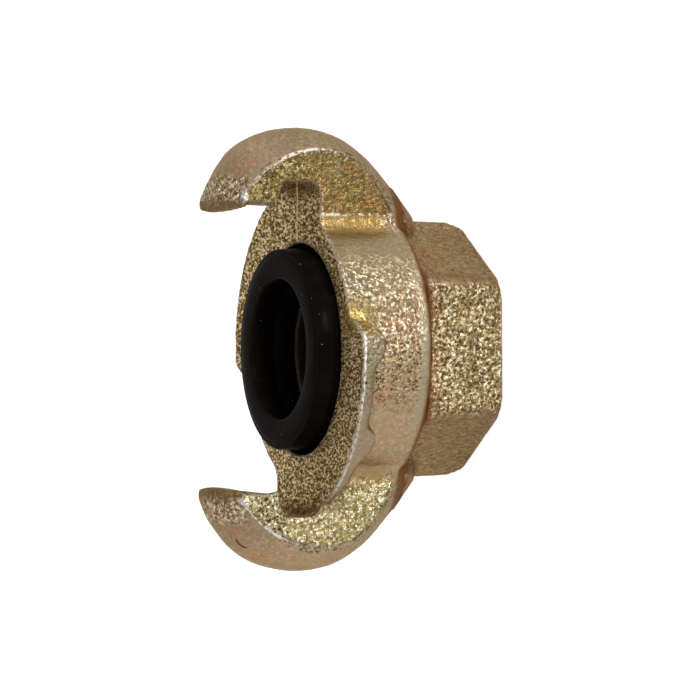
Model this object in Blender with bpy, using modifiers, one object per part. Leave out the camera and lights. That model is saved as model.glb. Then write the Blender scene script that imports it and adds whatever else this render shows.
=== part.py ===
"""Claw hose coupling half with a female pipe thread.

One malleable casting and one moulded rubber seal. The part stands on the end face of its hexagon:
the origin is the centre of that face, +Z runs along the bore towards the seal, and the two claws lie
along +Y and -Y. Everything on the casting apart from the hexagon is the same after half a turn about Z.
All sizes are in metres.
"""

import math

import bmesh
import bpy
from mathutils import Matrix, Vector, geometry

# Whole casting
COLLECTION_NAME = "claw_hose_coupling"
BODY_LENGTH = 0.0269            # hexagon end face to front face
TURN_STEPS = 72                 # facets round a turned shape
SEAT_GAP = 0.0003               # air between the seal and each wall of its groove
CUTTER_OVERRUN = 0.0010         # how far the bore cutter runs out of the metal at each end

# Hexagon and pipe bore
HEX_ACROSS_FLATS = 0.0346
HEX_HEIGHT = 0.0130
HEX_DRAFT = 0.0005              # how far each flat leans in at the end face
HEX_CORNER_BEVEL = 0.0011
HEX_END_BEVEL = 0.0007
THREAD_MINOR_DIAMETER = 0.02412
THREAD_DEPTH = 0.0145
THREAD_MOUTH_BEVEL = 0.0012
THREAD_WALL = 0.0014            # metal kept between the thread and what is joined to the drum
WATERWAY_DIAMETER = 0.0208

# Drum between the hexagon and the front face
DRUM_DIAMETER = 0.0410
DRUM_REAR_ROUND = 0.0010
DRUM_FRONT_BEVEL = 0.0003

# Lugs round the front face, behind which the other half's claws turn
LUG_DIAMETER = 0.0510
LUG_EDGE_BEVEL = 0.0004
LUG_RIM = 0.0022                # thickness of the plain rim
LUG_ROOT_RIM = 0.0017           # thickness beside the claw
CAM_DEPTH = 0.0039              # thickness at the two cams
LUG_CLAW_ANGLE = -83.0          # the lug starts inside the claw, angles in degrees from +X
LUG_END_ANGLE = 5.0             # where the rim ends at its outer edge
LUG_END_SLANT = 9.0             # further turn over which the end runs in to the drum
LUG_END_TAPER = 0.6             # share of its depth that the slanted end loses
CATCH_CAM_ANGLE = -34.0         # middle of the cam that the other claw clicks over
CATCH_CAM_HALF = 2.2
CATCH_CAM_RISE = 3.0            # steep side, towards the lug end
CATCH_CAM_RUN = 10.0            # long side, towards the claw
STOP_CAM_HALF = 3.0             # half the stop cam that ends the lug
STOP_CAM_RISE = 7.0
LUG_STATION_ANGLE = 2.5

# Claws
CLAW_GRIP = 0.0045              # how far a nose reaches in past the edge of a lug
CLAW_THICKNESS = 0.0073         # ceiling of the mouth to the top of a claw
CLAW_WIDTH = 0.0178
CLAW_CROWN = 0.0040             # how far the outer surface falls from its middle to its sides
CLAW_TOP_AHEAD = 0.0002         # top of the claw, ahead of the front face
CREST_TIP_AHEAD = 0.0151        # front of the nose at its middle, ahead of the front face
SIDE_TIP_AHEAD = 0.0127         # the same at its sides
NOSE_CROWN = 0.0009             # how far the end of the nose draws back at its sides
MOUTH_LENGTH = 0.0068           # front face to the inner side of the nose
MOUTH_CLEARANCE = 0.0013        # between a lug's outer edge and the ceiling of the mouth
MOUTH_ROUND = 0.0011
MOUTH_ROUND_SHARE = 0.3         # most of the nose's inner wall that this round may take
ROUND_ROOM = 1.03               # room that one round leaves to the next
NOSE_SIDE_ROUND = 0.0023        # inner corner of the nose at its sides
NOSE_CREST_ROUND = 0.0046       # the same at its middle
NOSE_OUTER_ROUND = 0.0005
NOSE_FLAT = 0.0014              # height of the flat end of the nose
ROOT_BEHIND = 0.0185            # crest line meets the hexagon, behind the front face
ROOT_SLOPE = 52.5               # fall of the crest line at the root, in degrees
SIDE_ROOT_BEHIND = 0.0129       # side edge meets the drum, behind the front face
SIDE_ROOT_SLOPE = 59.0
CREST_BACK_HANDLE = 0.0085      # lengths of the curve handles that shape the claw's outer curves
SIDE_BACK_HANDLE = 0.0080
CREST_TOP_HANDLE = 0.0086
SIDE_TOP_HANDLE = 0.0039
CREST_TIP_HANDLE = 0.0078
SIDE_TIP_HANDLE = 0.0032
CREST_TIP_LEAN = 9.0            # lean of the nose above its flat end, in degrees
SIDE_TIP_LEAN = 29.0
CLAW_FILLET = 0.0038            # between a claw's flat sides and the drum
FILLET_SINK = 0.0001            # how deep the fillet's thin edges run into the metal
CLAW_STATIONS = 12              # strips across a claw's width
BOW_STEPS = 14
BACK_STEPS = 12
ROUND_STEPS = 4
FILLET_STEPS = 4

# Seal and its groove
FRONT_RIM = 0.0043              # width of the front face outside the recess
SEAL_SIDE_GAP = 0.0008          # between the seal and the wall of the recess
SEAL_FLANGE_LIP = 0.0006        # how far the flange reaches in under that wall
SEAL_WALL = 0.00465
SEAL_STAND = 0.0029             # outer edge of the seal, ahead of the front face
SEAL_LIP = 0.0005               # how much further the flat land round the bore stands
SEAL_LAND = 0.0018              # width of that land, its rounded edge included
SEAL_EDGE_ROUND = 0.0007
SEAL_FLANGE_HEIGHT = 0.0025
SEAL_INNER_STEP = 0.0004
RECESS_DEPTH = 0.0041
RECESS_MOUTH_BEVEL = 0.0003

FRONT = BODY_LENGTH
DRUM_RADIUS = DRUM_DIAMETER / 2
LUG_RADIUS = LUG_DIAMETER / 2
HEX_CORNER_RADIUS = HEX_ACROSS_FLATS / 2 / math.cos(math.pi / 6)
MOUTH_CEILING = LUG_RADIUS + MOUTH_CLEARANCE
CLAW_REACH = MOUTH_CEILING + CLAW_THICKNESS
CLAW_SPACING = LUG_DIAMETER - 2 * CLAW_GRIP
CLAW_BURIED = THREAD_MINOR_DIAMETER / 2 + THREAD_WALL
SIDE_ROOT_HEIGHT = math.sqrt(DRUM_RADIUS ** 2 - (CLAW_WIDTH / 2) ** 2)
RECESS_DIAMETER = DRUM_DIAMETER - 2 * FRONT_RIM
SEAL_DIAMETER = RECESS_DIAMETER - 2 * SEAL_SIDE_GAP
SEAL_FLANGE_DIAMETER = RECESS_DIAMETER + 2 * SEAL_FLANGE_LIP
SEAL_BORE = SEAL_DIAMETER - 2 * SEAL_WALL


def clear_scene():
    """Remove what a new file holds."""
    for item in list(bpy.data.objects):
        bpy.data.objects.remove(item)


def new_collection(name):
    """Make a collection below the scene's own and return it."""
    collection = bpy.data.collections.new(name)
    bpy.context.scene.collection.children.link(collection)
    return collection


def new_object(name, mesh, collection):
    """Put a mesh into the scene under a name."""
    item = bpy.data.objects.new(name, mesh)
    collection.objects.link(item)
    return item


def make_material(name, colour, roughness, metallic):
    """Plain material with the colour, roughness and metallic value of a piece."""
    material = bpy.data.materials.new(name)
    material.use_nodes = True
    shader = material.node_tree.nodes["Principled BSDF"]
    shader.inputs["Base Color"].default_value = (*colour, 1.0)
    shader.inputs["Roughness"].default_value = roughness
    shader.inputs["Metallic"].default_value = metallic
    return material


def arc(centre, radius, start, end, steps):
    """Points of an arc, both ends included, with angles in radians."""
    return [
        Vector((centre[0] + radius * math.cos(start + (end - start) * i / steps),
                centre[1] + radius * math.sin(start + (end - start) * i / steps)))
        for i in range(steps + 1)
    ]


def rounded_corner(before, corner, after, radius, steps=ROUND_STEPS):
    """Points that round the corner between two straight sides."""
    corner = Vector(corner)
    towards_before = (Vector(before) - corner).normalized()
    towards_after = (Vector(after) - corner).normalized()
    half = towards_before.angle(towards_after) / 2
    centre = corner + (towards_before + towards_after).normalized() * radius / math.sin(half)
    first = corner + towards_before * radius / math.tan(half) - centre
    last = corner + towards_after * radius / math.tan(half) - centre
    sweep = first.angle(last)
    points = []
    for i in range(steps + 1):
        share = i / steps
        spoke = first * math.sin((1 - share) * sweep) + last * math.sin(share * sweep)
        points.append(centre + spoke / math.sin(sweep))
    return points


def turned(name, profile, collection, closed=False):
    """Turn a profile of (radius, z) points, which runs down its outer side, about Z."""
    mesh = bpy.data.meshes.new(name)
    shape = bmesh.new()
    verts = [shape.verts.new((radius, 0.0, z)) for radius, z in profile]
    for first, second in zip(verts, verts[1:]):
        shape.edges.new((first, second))
    if closed:
        shape.edges.new((verts[-1], verts[0]))
    shape.to_mesh(mesh)
    shape.free()
    item = new_object(name, mesh, collection)
    screw = item.modifiers.new("turn", "SCREW")
    screw.axis = "Z"
    screw.angle = math.tau
    screw.steps = TURN_STEPS
    screw.render_steps = TURN_STEPS
    screw.use_merge_vertices = True
    screw.merge_threshold = 0.00001
    return item


def loft(name, sections, collection):
    """Skin a row of sections that have the same number of points, and close both ends."""
    shape = bmesh.new()
    rows = [[shape.verts.new(point) for point in section] for section in sections]
    count = len(rows[0])
    for row, following in zip(rows, rows[1:]):
        for i in range(count):
            j = (i + 1) % count
            shape.faces.new((row[i], row[j], following[j], following[i]))
    shape.faces.new(rows[0])
    shape.faces.new(rows[-1])
    bmesh.ops.recalc_face_normals(shape, faces=shape.faces)
    bmesh.ops.triangulate(shape, faces=shape.faces, ngon_method="EAR_CLIP")
    mesh = bpy.data.meshes.new(name)
    shape.to_mesh(mesh)
    shape.free()
    return new_object(name, mesh, collection)


def hide_tool(item):
    """Show a cutter or a joined piece as wire only."""
    item.hide_render = True
    item.display_type = "WIRE"
    return item


def combine(target, tool, operation, label):
    """Join a piece to a target, or cut it away, and leave the modifier on the target."""
    modifier = target.modifiers.new(label, "BOOLEAN")
    modifier.operation = operation
    modifier.solver = "EXACT"
    modifier.object = hide_tool(tool)


def hexagon_block(collection):
    """Cast hexagon: corners towards the claws, flats with draft, edges eased."""
    top_radius = HEX_CORNER_RADIUS
    end_radius = HEX_CORNER_RADIUS - HEX_DRAFT / math.cos(math.pi / 6)
    mesh = bpy.data.meshes.new("hexagon")
    shape = bmesh.new()
    bmesh.ops.create_cone(
        shape, cap_ends=True, segments=6, radius1=end_radius, radius2=top_radius, depth=HEX_HEIGHT)
    bmesh.ops.translate(shape, verts=shape.verts, vec=(0.0, 0.0, HEX_HEIGHT / 2))
    corners = [edge for edge in shape.edges if abs(edge.verts[0].co.z - edge.verts[1].co.z) > HEX_HEIGHT / 2]
    bmesh.ops.bevel(shape, geom=corners, offset=HEX_CORNER_BEVEL, segments=4, profile=0.5, affect="EDGES")
    end_edges = [edge for edge in shape.edges if max(vert.co.z for vert in edge.verts) < HEX_END_BEVEL]
    bmesh.ops.bevel(shape, geom=end_edges, offset=HEX_END_BEVEL, segments=2, profile=0.5, affect="EDGES")
    shape.to_mesh(mesh)
    shape.free()
    return new_object("hexagon", mesh, collection)


def drum_profile():
    """Outer profile of the round body, from the axis in front to the axis at its rear."""
    rear = HEX_HEIGHT
    rear_round = arc((DRUM_RADIUS - DRUM_REAR_ROUND, rear + DRUM_REAR_ROUND), DRUM_REAR_ROUND,
                     0.0, -math.pi / 2, 3)
    points = [(0.0, FRONT), (DRUM_RADIUS - DRUM_FRONT_BEVEL, FRONT), (DRUM_RADIUS, FRONT - DRUM_FRONT_BEVEL)]
    points += [tuple(point) for point in rear_round]
    points += [(DRUM_RADIUS - 2 * DRUM_REAR_ROUND, rear), (0.0, rear - DRUM_REAR_ROUND)]
    return points


def bore_profile():
    """Hollow through the casting: seal recess with its groove, waterway and pipe bore."""
    past = CUTTER_OVERRUN
    recess = RECESS_DIAMETER / 2
    groove = SEAL_FLANGE_DIAMETER / 2 + SEAT_GAP
    groove_top = FRONT - RECESS_DEPTH + SEAL_FLANGE_HEIGHT + 2 * SEAT_GAP
    waterway = WATERWAY_DIAMETER / 2
    thread = THREAD_MINOR_DIAMETER / 2
    return [
        (0.0, FRONT + past),
        (recess + RECESS_MOUTH_BEVEL + past, FRONT + past),
        (recess, FRONT - RECESS_MOUTH_BEVEL),
        (recess, groove_top),
        (groove, groove_top),
        (groove, FRONT - RECESS_DEPTH),
        (waterway, FRONT - RECESS_DEPTH),
        (waterway, THREAD_DEPTH + thread - waterway),
        (thread, THREAD_DEPTH),
        (thread, THREAD_MOUTH_BEVEL),
        (thread + THREAD_MOUTH_BEVEL + past, -past),
        (0.0, -past),
    ]


def smooth_step(share):
    """Ease from 0 to 1."""
    share = min(max(share, 0.0), 1.0)
    return share * share * (3 - 2 * share)


def lug_thickness(angle):
    """Depth of the lug behind the front face at an angle in degrees."""
    plain = LUG_ROOT_RIM + (LUG_RIM - LUG_ROOT_RIM) * smooth_step(
        (angle - CATCH_CAM_ANGLE + 3 * CATCH_CAM_RUN) / (2 * CATCH_CAM_RUN))
    from_catch = angle - CATCH_CAM_ANGLE
    slope = CATCH_CAM_RISE if from_catch > 0 else CATCH_CAM_RUN
    catch = 1 - smooth_step((abs(from_catch) - CATCH_CAM_HALF) / slope)
    from_stop = LUG_END_ANGLE - STOP_CAM_HALF - angle
    stop = 1 - smooth_step((from_stop - STOP_CAM_HALF) / STOP_CAM_RISE)
    return plain + (CAM_DEPTH - plain) * max(catch, stop)


def lug_section(angle):
    """Radial section of the lug at an angle, its root buried in the drum."""
    slant = max(0.0, (angle - LUG_END_ANGLE) / LUG_END_SLANT)
    radius = LUG_RADIUS + (DRUM_RADIUS - LUG_RADIUS) * slant
    depth = lug_thickness(angle) * (1 - LUG_END_TAPER * slant)
    root = RECESS_DIAMETER / 2
    outline = [
        (root, FRONT),
        (radius - LUG_EDGE_BEVEL, FRONT),
        (radius, FRONT - LUG_EDGE_BEVEL),
        (radius, FRONT - depth + LUG_EDGE_BEVEL),
        (radius - LUG_EDGE_BEVEL, FRONT - depth),
        (root, FRONT - depth),
    ]
    turn = math.radians(angle)
    return [(r * math.cos(turn), r * math.sin(turn), z) for r, z in outline]


def lug(name, collection):
    """One lug: a rim round the front face with a catch cam and a stop cam behind it."""
    span = LUG_END_ANGLE + LUG_END_SLANT - LUG_CLAW_ANGLE
    stations = round(span / LUG_STATION_ANGLE)
    angles = [LUG_CLAW_ANGLE + span * i / stations for i in range(stations + 1)]
    return loft(name, [lug_section(angle) for angle in angles], collection)


def between(side, crest, crown):
    """Value between a claw's side, where crown is 0, and its crest, where it is 1."""
    return side + (crest - side) * crown


def outer_curve(start, leave, arrive, end, steps):
    """Points of a curve from one knot to the next, without the first."""
    knots = [Vector((*point, 0.0)) for point in (start, leave, arrive, end)]
    curve = geometry.interpolate_bezier(*knots, steps + 1)
    return [Vector((point.x, point.y)) for point in curve[1:]]


def claw_bow(tip, top, crown):
    """Outer curve of the nose, from its flat end up to the top of the claw."""
    lean = math.radians(between(SIDE_TIP_LEAN, CREST_TIP_LEAN, crown))
    tip_handle = between(SIDE_TIP_HANDLE, CREST_TIP_HANDLE, crown)
    top_handle = between(SIDE_TOP_HANDLE, CREST_TOP_HANDLE, crown)
    start = (tip[0], tip[1] + NOSE_FLAT)
    leave = (start[0] - tip_handle * math.sin(lean), start[1] + tip_handle * math.cos(lean))
    end = (FRONT + CLAW_TOP_AHEAD, top)
    return outer_curve(start, leave, (end[0] + top_handle, end[1]), end, BOW_STEPS)


def claw_back(top, crown):
    """Outer curve behind the top of the claw, from the top down to its root."""
    slope = math.radians(between(SIDE_ROOT_SLOPE, ROOT_SLOPE, crown))
    handle = between(SIDE_BACK_HANDLE, CREST_BACK_HANDLE, crown)
    start = (FRONT + CLAW_TOP_AHEAD, top)
    end = (FRONT - between(SIDE_ROOT_BEHIND, ROOT_BEHIND, crown),
           between(SIDE_ROOT_HEIGHT, HEX_CORNER_RADIUS, crown))
    arrive = (end[0] + handle * math.cos(slope), end[1] + handle * math.sin(slope))
    return outer_curve(start, (start[0] - handle, start[1]), arrive, end, BACK_STEPS)


def claw_outline(across):
    """Outline of the claw in (z, y) at a distance across from its middle plane."""
    half = CLAW_WIDTH / 2
    bulge = (half * half + CLAW_CROWN * CLAW_CROWN) / (2 * CLAW_CROWN)
    fall = bulge - math.sqrt(bulge * bulge - across * across)
    crown = 1 - fall / CLAW_CROWN
    top = CLAW_REACH - fall
    nose_end = CLAW_SPACING / 2 + NOSE_CROWN * (1 - crown)
    ceiling = math.sqrt(MOUTH_CEILING ** 2 - across ** 2)
    nose_wall = FRONT + MOUTH_LENGTH
    nose_side = ceiling - nose_end
    tip = (FRONT + between(SIDE_TIP_AHEAD, CREST_TIP_AHEAD, crown), nose_end)
    mouth_round = min(MOUTH_ROUND, MOUTH_ROUND_SHARE * nose_side)
    room = nose_side - ROUND_ROOM * mouth_round
    inner_round = min(between(NOSE_SIDE_ROUND, NOSE_CREST_ROUND, crown), room)
    outline = [Vector((FRONT, CLAW_BURIED))]
    outline += rounded_corner(outline[0], (FRONT, ceiling), (nose_wall, ceiling), mouth_round)
    outline += rounded_corner((FRONT, ceiling), (nose_wall, ceiling), (nose_wall, nose_end), mouth_round)
    outline += rounded_corner((nose_wall, ceiling), (nose_wall, nose_end), tip, inner_round)
    outline += rounded_corner((nose_wall, nose_end), tip, (tip[0], top), NOSE_OUTER_ROUND)
    outline.append(Vector((tip[0], nose_end + NOSE_FLAT)))
    outline += claw_bow(tip, top, crown)
    outline += claw_back(top, crown)
    outline.append(Vector((outline[-1].x, CLAW_BURIED)))
    return outline


def claw(name, collection):
    """One claw: a hooked plate with flat sides and a crowned outer surface."""
    sections = []
    for i in range(CLAW_STATIONS + 1):
        across = -math.cos(math.pi * i / CLAW_STATIONS) * CLAW_WIDTH / 2
        sections.append([(across, y, z) for z, y in claw_outline(across)])
    return loft(name, sections, collection)


def root_fillet(name, side, collection):
    """Fillet that runs from a flat side of a claw into the drum; side is 1 or -1."""
    half = CLAW_WIDTH / 2
    reach = DRUM_RADIUS + CLAW_FILLET - FILLET_SINK
    across = half + CLAW_FILLET - FILLET_SINK
    centre = Vector((across, math.sqrt(reach ** 2 - across ** 2)))
    drum_touch = math.atan2(-centre.y, -centre.x)
    edge = arc(centre, CLAW_FILLET, -math.pi, drum_touch, FILLET_STEPS)
    buried = CLAW_BURIED / DRUM_RADIUS
    outline = [Vector((half / 2, centre.y)), *edge, edge[-1] * buried, Vector((half / 2, CLAW_BURIED))]
    slope = math.tan(math.radians(SIDE_ROOT_SLOPE))
    front = [(side * point.x, point.y, FRONT) for point in outline]
    rear = []
    for point in outline:
        behind = SIDE_ROOT_BEHIND - (point.y - SIDE_ROOT_HEIGHT) / slope
        rear.append((side * point.x, point.y, FRONT - behind))
    return loft(name, [front, rear], collection)


def coupling_body(parts, tools):
    """The casting, built from its round body outwards and bored last."""
    body = turned("coupling_body", drum_profile(), parts)
    combine(body, hexagon_block(tools), "UNION", "hexagon")
    half_turn = Matrix.Rotation(math.pi, 4, "Z")
    for label in ("near", "far"):
        pieces = [
            claw(f"claw_{label}", tools),
            root_fillet(f"left_fillet_{label}", -1, tools),
            root_fillet(f"right_fillet_{label}", 1, tools),
            lug(f"lug_{label}", tools),
        ]
        for piece in pieces:
            if label == "far":
                piece.matrix_world = half_turn
            combine(body, piece, "UNION", piece.name)
    combine(body, turned("bore", bore_profile(), tools), "DIFFERENCE", "bore")
    body.data.materials.append(make_material("passivated_casting", (0.45, 0.33, 0.20), 0.38, 0.85))
    return body


def seal_profile():
    """Closed profile of the seal, down its outer side and back up its bore."""
    outer = SEAL_DIAMETER / 2
    bore = SEAL_BORE / 2
    flange = SEAL_FLANGE_DIAMETER / 2
    top = FRONT + SEAL_STAND
    base = FRONT - RECESS_DEPTH + SEAT_GAP
    front_round = arc((outer - SEAL_EDGE_ROUND, top - SEAL_EDGE_ROUND), SEAL_EDGE_ROUND, math.pi / 2, 0.0, 4)
    points = [tuple(point) for point in front_round]
    points += [
        (outer, base + SEAL_FLANGE_HEIGHT),
        (flange, base + SEAL_FLANGE_HEIGHT),
        (flange, base),
        (bore + SEAL_INNER_STEP, base),
        (bore, base + 2 * SEAL_INNER_STEP),
        (bore, top + SEAL_LIP - SEAL_INNER_STEP),
        (bore + SEAL_INNER_STEP, top + SEAL_LIP),
        (bore + SEAL_LAND, top + SEAL_LIP),
    ]
    return points


def seal_ring(parts):
    """Moulded rubber seal, seated in the groove by its flange."""
    ring = turned("seal_ring", seal_profile(), parts, closed=True)
    ring.data.materials.append(make_material("black_rubber", (0.012, 0.011, 0.011), 0.5, 0.0))
    return ring


def shade(item):
    """Smooth shading with sharp creases kept."""
    item.data.shade_smooth()
    item.data.set_sharp_from_angle(angle=math.radians(35))


def main():
    """Build the coupling."""
    clear_scene()
    parts = new_collection(COLLECTION_NAME)
    tools = new_collection("cutters")
    for item in (coupling_body(parts, tools), seal_ring(parts)):
        shade(item)


main()
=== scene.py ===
"""Claw hose coupling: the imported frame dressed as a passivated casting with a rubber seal.

The casting is a finer copy of its solid, with the soft edges, uneven skin and grain of a real casting. The
pipe thread and the seal's moulded form are added here. All sizes are in metres, in the frame's own axes: the
hexagon stands on the floor, +Z runs along the bore towards the seal and the claws lie along +Y and -Y.
"""

import logging
import math
from dataclasses import dataclass, field
from enum import Enum
from typing import Any

import bmesh
import bpy
import numpy as np
from mathutils import Matrix, Vector, noise

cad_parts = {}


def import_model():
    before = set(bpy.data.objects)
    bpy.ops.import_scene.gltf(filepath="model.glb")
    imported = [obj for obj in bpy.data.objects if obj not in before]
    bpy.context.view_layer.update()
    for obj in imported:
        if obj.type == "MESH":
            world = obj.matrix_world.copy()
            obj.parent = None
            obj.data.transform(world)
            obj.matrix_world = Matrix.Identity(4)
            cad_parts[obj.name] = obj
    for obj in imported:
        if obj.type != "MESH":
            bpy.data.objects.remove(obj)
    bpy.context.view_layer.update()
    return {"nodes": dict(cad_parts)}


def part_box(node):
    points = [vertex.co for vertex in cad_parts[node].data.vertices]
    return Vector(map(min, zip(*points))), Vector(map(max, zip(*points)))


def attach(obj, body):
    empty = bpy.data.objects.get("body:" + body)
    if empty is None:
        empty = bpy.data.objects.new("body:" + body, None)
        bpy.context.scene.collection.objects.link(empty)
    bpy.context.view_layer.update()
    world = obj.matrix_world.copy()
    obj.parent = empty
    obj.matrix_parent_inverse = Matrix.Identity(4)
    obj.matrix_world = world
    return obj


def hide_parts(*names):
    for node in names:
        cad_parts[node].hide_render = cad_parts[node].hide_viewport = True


LOG = logging.getLogger("coupling")
ROOT_BODY = "root"
DEPTH_LAYER = "thread_depth"
PLATED = 0.92                   # metallic share of the plated metal

Colour = tuple[float, float, float]
Number = int | float
Place = tuple[float, float, float]
WHITE: Colour = (1.0, 1.0, 1.0)


def screen(red: Number, green: Number, blue: Number) -> Colour:
    """Turn a colour as a screen shows it, 0 to 255, into the shader's linear values.

    Args:
        red: Red part.
        green: Green part.
        blue: Blue part.

    Returns:
        The three linear values.
    """
    parts = []
    for part in (red, green, blue):
        share = part / 255
        parts.append(share / 12.92 if share <= 0.04045 else ((share + 0.055) / 1.055) ** 2.4)
    return (parts[0], parts[1], parts[2])


class Layer(Enum):
    """What a point of the casting knows about its place, kept as a layer on the mesh."""

    FRONT = "front_face"
    CLAW_SIDE = "claw_side"
    CROWN = "claw_crown"
    EDGE = "worn_edge"
    RIDGE = "claw_ridge"
    HOLLOW = "hollow"
    DARK = "dark_grain"
    BRIGHT = "grain_glint"
    LAND = "smooth_land"
    RIM = "lug_rim"
    TIP = "nose_tip"
    GOLD = "golden_root_and_glint"
    VALLEY = "valley_shade"
    HEXAGON = "hexagon"
    SHELTER = "sheltered_mouth"
    BORE = "bore"


class Socket:
    """A number in a shader. Python's operators on it add Math nodes."""

    def __init__(self, sheet: "NodeSheet", link: bpy.types.NodeSocket) -> None:
        """Wrap an output of one of a sheet's nodes."""
        self.sheet = sheet
        self.link = link

    def _math(self, operation: str, *values: Any) -> "Socket":
        """Add one Math node that works on one or two values."""
        return self.sheet.value("ShaderNodeMath", {"operation": operation}, dict(enumerate(values)))

    def __add__(self, other: Any) -> "Socket":
        """Sum."""
        return self._math("ADD", self, other)

    __radd__ = __add__

    def __sub__(self, other: Any) -> "Socket":
        """Difference."""
        return self._math("SUBTRACT", self, other)

    def __rsub__(self, other: Any) -> "Socket":
        """Difference from a plain number."""
        return self._math("SUBTRACT", other, self)

    def __mul__(self, other: Any) -> "Socket":
        """Product."""
        return self._math("MULTIPLY", self, other)

    __rmul__ = __mul__

    def __abs__(self) -> "Socket":
        """Size without sign."""
        return self._math("ABSOLUTE", self)

    def largest(self, other: Any) -> "Socket":
        """The larger of two."""
        return self._math("MAXIMUM", self, other)

    def smallest(self, other: Any) -> "Socket":
        """The smaller of two."""
        return self._math("MINIMUM", self, other)

    def within(self, low: Number, high: Number, soft: Number) -> "Socket":
        """Take 1 between two values and 0 outside them, with borders that are twice as wide as soft."""
        return self.step(low - soft, low + soft) * self.step(high + soft, high - soft)

    def step(self, start: Number, end: Number) -> "Socket":
        """Ease from 0 at the first value to 1 at the second.

        Args:
            start: Value that gives 0.
            end: Value that gives 1; it may be the smaller one.

        Returns:
            The eased share.
        """
        first, last = (0.0, 1.0) if start <= end else (1.0, 0.0)
        sockets = {0: self, 1: min(start, end), 2: max(start, end), 3: first, 4: last}
        return self.sheet.value("ShaderNodeMapRange", {"interpolation_type": "SMOOTHSTEP"}, sockets)


class NodeSheet:
    """The nodes of one material or world."""

    def __init__(self, tree: bpy.types.NodeTree) -> None:
        """Take a node tree and clear it."""
        self.tree = tree
        self.tree.nodes.clear()

    def node(self, kind: str, settings: dict[str, Any] | None = None,
             sockets: dict[Any, Any] | None = None) -> bpy.types.Node:
        """Add a node, set it up and then feed it.

        Args:
            kind: Node type.
            settings: Its properties, such as an operation.
            sockets: Numbers, colours or links for its inputs, by name or place.

        Returns:
            The node.
        """
        made = self.tree.nodes.new(kind)
        for name, setting in (settings or {}).items():
            setattr(made, name, setting)
        for name, given in (sockets or {}).items():
            target = made.inputs[name]
            source = given.link if isinstance(given, Socket) else given
            if isinstance(source, bpy.types.NodeSocket):
                self.tree.links.new(source, target)
            elif target.type == "RGBA" and len(source) == 3:
                target.default_value = (*source, 1.0)
            else:
                target.default_value = source
        return made

    def value(self, kind: str, settings: dict[str, Any] | None = None,
              sockets: dict[Any, Any] | None = None, output: Any = 0) -> Socket:
        """Add a node and take one of its outputs, by name or place, as a number."""
        return Socket(self, self.node(kind, settings, sockets).outputs[output])

    def coordinates(self) -> tuple[bpy.types.NodeSocket, list[Socket]]:
        """Read the place of a point.

        Returns:
            The object's coordinates as a vector, and as three numbers.
        """
        place = self.node("ShaderNodeTexCoord").outputs["Object"]
        axes = self.node("ShaderNodeSeparateXYZ", None, {0: place})
        return place, [Socket(self, axis) for axis in axes.outputs]

    def blend(self, share: Any, first: Any, second: Any, way: str = "MIX") -> bpy.types.NodeSocket:
        """Mix a share of the second colour into the first."""
        settings = {"data_type": "RGBA", "blend_type": way}
        return self.node("ShaderNodeMix", settings, {0: share, 6: first, 7: second}).outputs[2]

    def coats(self, ground: Any, coats: list[tuple[Any, Any]]) -> Any:
        """Lay colours over a ground, one after another.

        Args:
            ground: Colour at the bottom.
            coats: A share and a colour for each coat.

        Returns:
            The colour on top.
        """
        for share, paint in coats:
            ground = self.blend(share, ground, paint)
        return ground

    def mean(self, share: Socket, first: Socket, second: Socket) -> Socket:
        """Go from the first number to the second by a share."""
        return first + share * (second - first)

    def layer(self, name: Layer) -> Socket:
        """Read a layer of the mesh."""
        return self.value("ShaderNodeAttribute", {"attribute_name": name.value}, output="Fac")

    def speckle(self, where: Any, size: float, detail: float = 2.0, roughness: float = 0.5,
                distortion: float = 0.0) -> Socket:
        """Smooth noise from 0 to 1, in blots of a size in metres."""
        sockets = {"Vector": where, "Scale": 1 / size, "Detail": detail, "Roughness": roughness,
                   "Distortion": distortion}
        return self.value("ShaderNodeTexNoise", None, sockets, "Fac")

    def near(self, where: Any, centre: Place) -> Socket:
        """Distance from a point of the object."""
        return self.value("ShaderNodeVectorMath", {"operation": "DISTANCE"}, {0: where, 1: centre}, "Value")

    def surface(self, height: Socket, sockets: dict[str, Any]) -> None:
        """Close a material with one bumped shader.

        Args:
            height: Height of the surface, in metres.
            sockets: Values of the shader's other inputs.
        """
        bump = self.node("ShaderNodeBump", None, {"Distance": 1.0, "Height": height})
        shader = self.node("ShaderNodeBsdfPrincipled", None, {**sockets, "Normal": bump.outputs[0]})
        self.node("ShaderNodeOutputMaterial", None, {"Surface": shader.outputs[0]})


def new_material(name: str) -> tuple[bpy.types.Material, NodeSheet]:
    """Make an empty material.

    Args:
        name: Its name.

    Returns:
        The material and its node sheet.
    """
    material = bpy.data.materials.new(name)
    material.use_nodes = True
    return material, NodeSheet(material.node_tree)


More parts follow.
